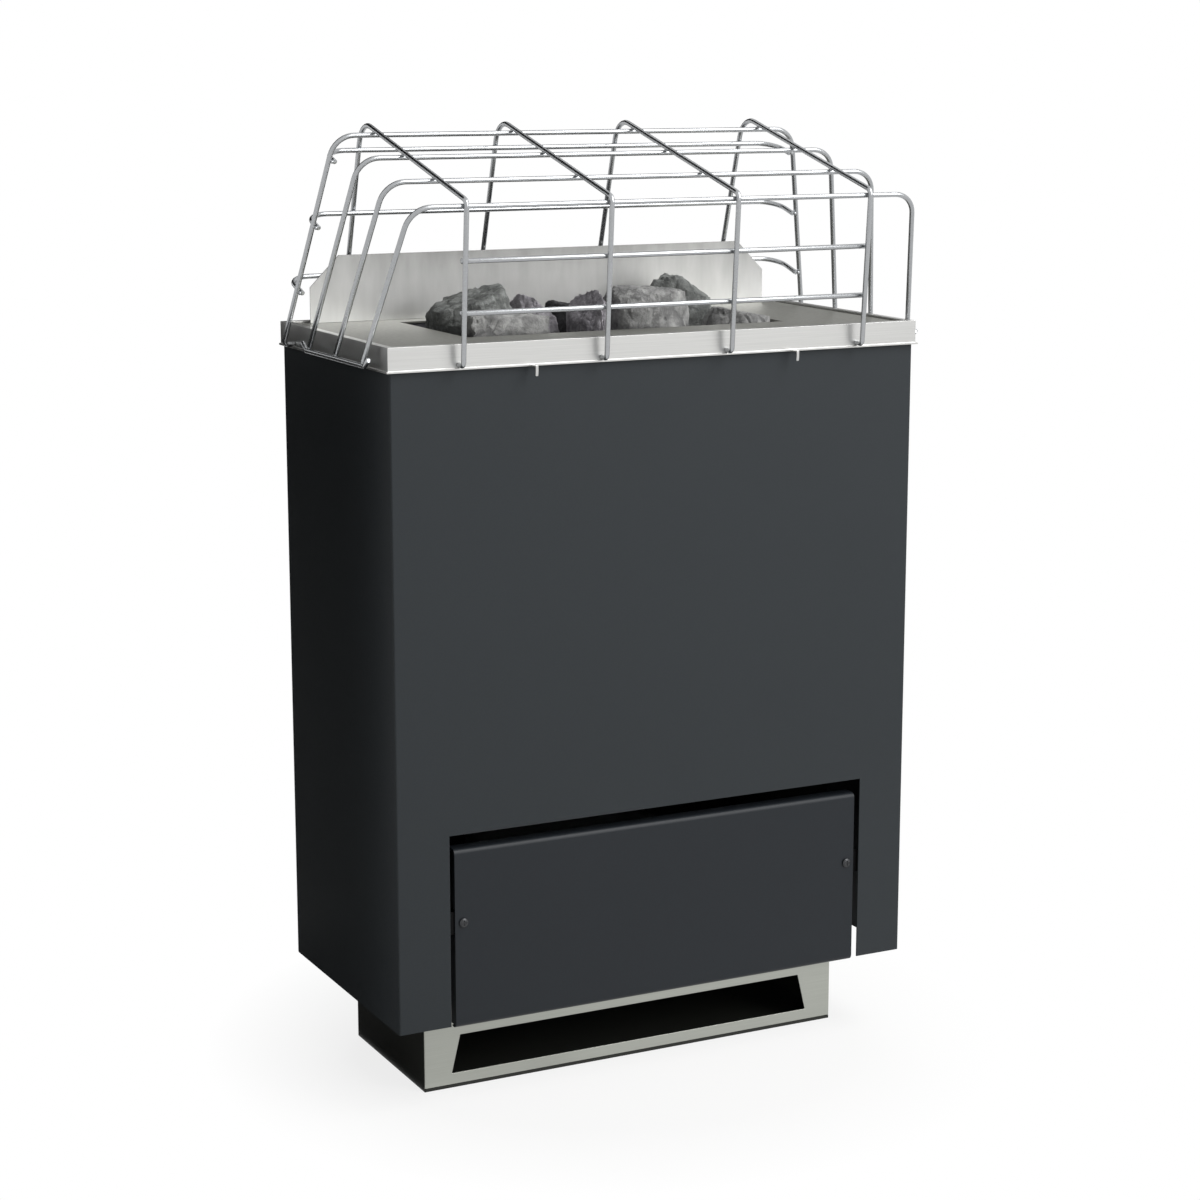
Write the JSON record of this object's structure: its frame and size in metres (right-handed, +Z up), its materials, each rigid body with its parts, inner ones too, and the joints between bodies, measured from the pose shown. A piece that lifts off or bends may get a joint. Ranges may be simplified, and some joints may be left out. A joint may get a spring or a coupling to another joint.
{
  "type": "sauna heater stove",
  "caption": "Floor-standing electric sauna heater: a painted casing on a slotted plinth, stones in an open top, a leaning wire guard over them and a screwed access cover.",
  "frame": {"origin": "on the floor, at the middle of the whole part's width and depth", "axes": "+X to the right when facing the front, +Y back towards the wall, +Z up"},
  "size_m": [0.6352, 0.3261, 0.9996],
  "materials": {
    "dark_paint": "matt",
    "plinth_steel": "satin",
    "anthracite_paint": "fine textured matt",
    "cover_paint": "satin",
    "galvanised_sheet": "galvanised",
    "zinc_plated_steel": "zinc plated",
    "element_sheath": "heat tinted",
    "terminal_ceramic": "unglazed",
    "gland_plastic": "moulded",
    "blackened_iron": "heat-proof black",
    "brushed_steel": "brushed",
    "bright_wire": "polished",
    "stone_grey": "rough split",
    "stone_dark": "rough split",
    "stone_purple": "rough split"
  },
  "bodies": {
    "heater": {"plinth_frame": "dark_paint", "plinth_front": "plinth_steel", "base_plate": "galvanised_sheet", "casing_shell": "anthracite_paint", "back_panel": "galvanised_sheet", "back_screw_1": "zinc_plated_steel", "back_screw_2": "zinc_plated_steel", "back_screw_3": "zinc_plated_steel", "back_screw_4": "zinc_plated_steel", "cover_bracket_left": "dark_paint", "cover_bracket_right": "dark_paint", "heat_shield": "dark_paint", "element_plate": "galvanised_sheet", "heating_element_1": "element_sheath", "heating_element_2": "element_sheath", "heating_element_3": "element_sheath", "terminal_box": "galvanised_sheet", "terminal_block": "terminal_ceramic", "cable_gland": "gland_plastic", "stone_bin": "blackened_iron", "stone_grate": "blackened_iron", "top_plate": "brushed_steel", "top_rim": "brushed_steel", "deflector": "brushed_steel", "deflector_screw_1": "zinc_plated_steel", "deflector_screw_2": "zinc_plated_steel", "stone_01": "stone_grey", "stone_02": "stone_dark", "stone_03": "stone_purple", "stone_04": "stone_grey", "stone_05": "stone_dark", "stone_06": "stone_purple", "stone_07": "stone_grey", "stone_08": "stone_dark", "stone_09": "stone_purple", "stone_10": "stone_grey", "stone_11": "stone_dark", "stone_12": "stone_purple", "stone_13": "stone_grey", "stone_14": "stone_dark", "stone_15": "stone_purple", "stone_16": "stone_grey"},
    "guard": {"guard_hoop_1": "bright_wire", "guard_hoop_2": "bright_wire", "guard_hoop_3": "bright_wire", "guard_hoop_4": "bright_wire", "guard_rib_1": "bright_wire", "guard_rib_2": "bright_wire", "guard_rib_3": "bright_wire", "guard_rib_4": "bright_wire", "guard_front_rod_1": "bright_wire", "guard_front_rod_2": "bright_wire", "guard_rear_rod_1": "bright_wire", "guard_rear_rod_2": "bright_wire", "guard_rear_rod_3": "bright_wire", "guard_foot_rail_left": "bright_wire", "guard_foot_rail_right": "bright_wire"},
    "cover": {"access_cover": "cover_paint"},
    "screw_left": {"cover_screw_left": "zinc_plated_steel"},
    "screw_right": {"cover_screw_right": "zinc_plated_steel"}
  },
  "joints": [
    {"name": "guard_lift", "type": "slide", "parent": "heater", "child": "guard", "axis": [0, 0, 1], "range_m": [0, 0.25]},
    {"name": "cover_pull", "type": "slide", "parent": "heater", "child": "cover", "axis": [0, -1, 0], "range_m": [0, 0.12]},
    {"name": "screw_left_turn", "type": "hinge", "parent": "cover", "child": "screw_left", "pos_m": [-0.2267, -0.13485, 0.201], "axis": [0, 1, 0], "continuous": true},
    {"name": "screw_right_turn", "type": "hinge", "parent": "cover", "child": "screw_right", "pos_m": [0.2315, -0.13485, 0.201], "axis": [0, 1, 0], "continuous": true}
  ]
}
